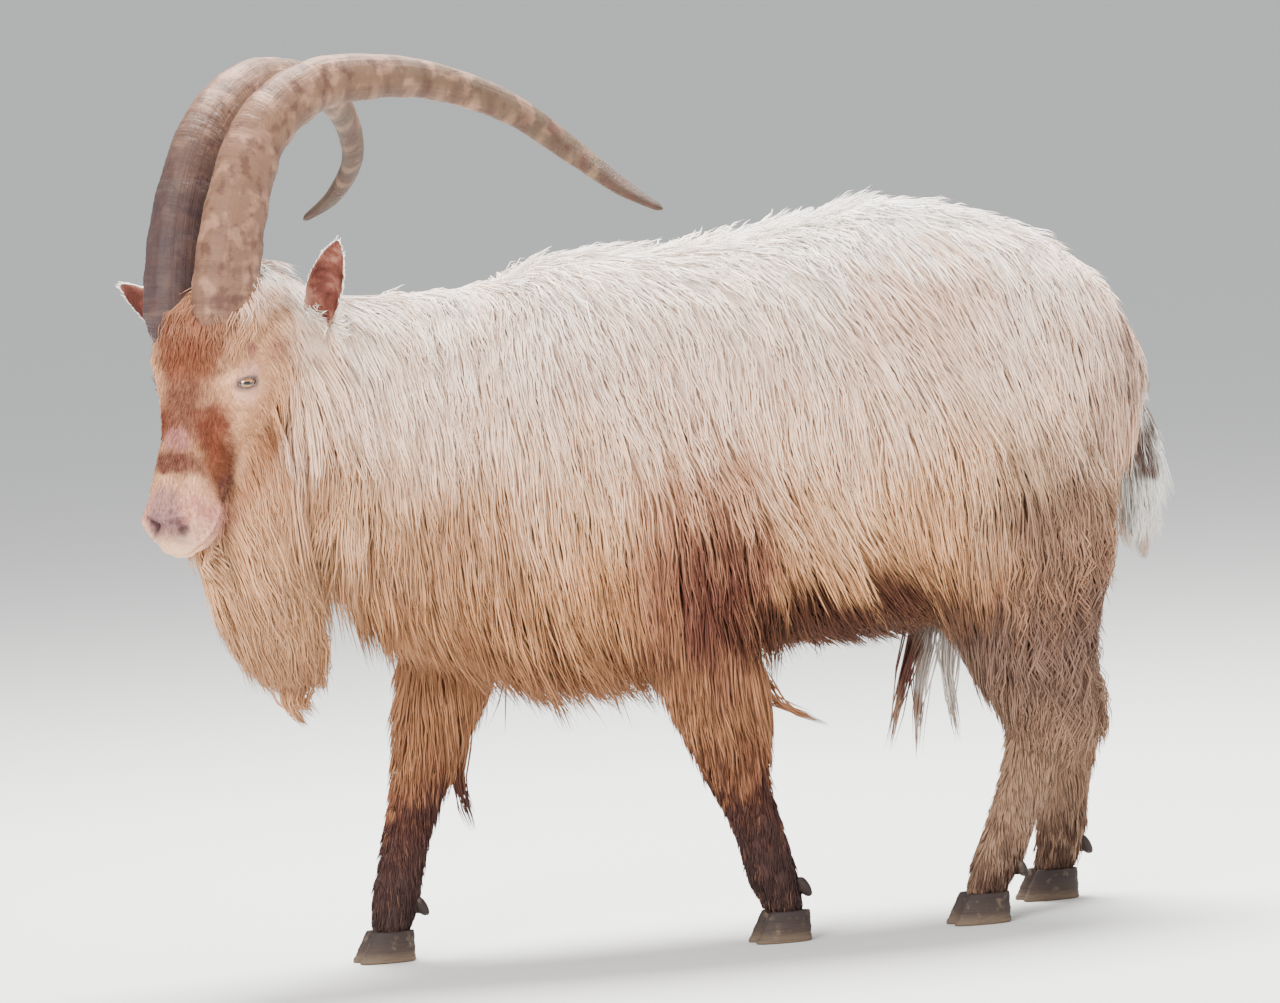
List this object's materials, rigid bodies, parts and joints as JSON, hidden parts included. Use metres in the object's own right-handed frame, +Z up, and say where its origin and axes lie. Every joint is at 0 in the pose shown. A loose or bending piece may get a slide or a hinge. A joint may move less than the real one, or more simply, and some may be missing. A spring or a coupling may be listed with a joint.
{
  "type": "bilberry goat",
  "caption": "Life-size standing billy goat in a slow walk, with long swept-back horns, a beard and a long shaggy coat, its head turned to its left.",
  "frame": {"origin": "on the floor, under the middle of the bounding box", "axes": "+Z is up, the goat's trunk lies along X with its front towards -X, and its left side is towards -Y"},
  "size_m": [1.3338, 0.6546, 1.0846],
  "materials": {
    "neck": "long cream and buff hair over flesh, stated as leather",
    "torso_front": "long cream hair over flesh, stated as leather",
    "torso_middle": "long cream hair over flesh, stated as leather",
    "torso_rear": "long cream hair over flesh, stated as leather",
    "head": "short rusty hair over skin and bone, stated as leather",
    "beard": "long tan hair of the beard and throat over flesh, stated as leather",
    "tail": "white and dark brown hair, stated as fabric",
    "fore_left_upper": "tan and brown hair over flesh, stated as leather",
    "fore_left_lower": "short dark brown hair over skin and bone, stated as leather",
    "fore_left_claw_inner": "dark keratin of the hoof, stated as plastic because the list has no horn",
    "fore_left_claw_outer": "dark keratin of the hoof, stated as plastic because the list has no horn",
    "fore_right_upper": "tan and brown hair over flesh, stated as leather",
    "fore_right_lower": "short dark brown hair over skin and bone, stated as leather",
    "fore_right_claw_inner": "dark keratin of the hoof, stated as plastic because the list has no horn",
    "fore_right_claw_outer": "dark keratin of the hoof, stated as plastic because the list has no horn",
    "hind_left_upper": "shaggy grey-brown hair over flesh, stated as leather",
    "hind_left_lower": "short dark brown hair over skin and bone, stated as leather",
    "hind_left_claw_inner": "dark keratin of the hoof, stated as plastic because the list has no horn",
    "hind_left_claw_outer": "dark keratin of the hoof, stated as plastic because the list has no horn",
    "hind_right_upper": "shaggy grey-brown hair over flesh, stated as leather",
    "hind_right_lower": "short dark brown hair over skin and bone, stated as leather",
    "hind_right_claw_inner": "dark keratin of the hoof, stated as plastic because the list has no horn",
    "hind_right_claw_outer": "dark keratin of the hoof, stated as plastic because the list has no horn",
    "horn_left": "brown keratin, stated as plastic because the list has no horn",
    "ear_left": "short hair over skin, stated as leather",
    "eye_left": "wet eye, stated as gloss plastic",
    "horn_right": "brown keratin, stated as plastic because the list has no horn",
    "ear_right": "short hair over skin, stated as leather",
    "eye_right": "wet eye, stated as gloss plastic"
  },
  "bodies": {
    "root": {"neck": "neck", "torso_front": "torso_front", "torso_middle": "torso_middle", "torso_rear": "torso_rear", "head": "head", "beard": "beard", "tail": "tail", "fore_left_upper": "fore_left_upper", "fore_left_lower": "fore_left_lower", "fore_left_claw_inner": "fore_left_claw_inner", "fore_left_claw_outer": "fore_left_claw_outer", "fore_right_upper": "fore_right_upper", "fore_right_lower": "fore_right_lower", "fore_right_claw_inner": "fore_right_claw_inner", "fore_right_claw_outer": "fore_right_claw_outer", "hind_left_upper": "hind_left_upper", "hind_left_lower": "hind_left_lower", "hind_left_claw_inner": "hind_left_claw_inner", "hind_left_claw_outer": "hind_left_claw_outer", "hind_right_upper": "hind_right_upper", "hind_right_lower": "hind_right_lower", "hind_right_claw_inner": "hind_right_claw_inner", "hind_right_claw_outer": "hind_right_claw_outer", "horn_left": "horn_left", "ear_left": "ear_left", "eye_left": "eye_left", "horn_right": "horn_right", "ear_right": "ear_right", "eye_right": "eye_right"}
  },
  "joints": []
}
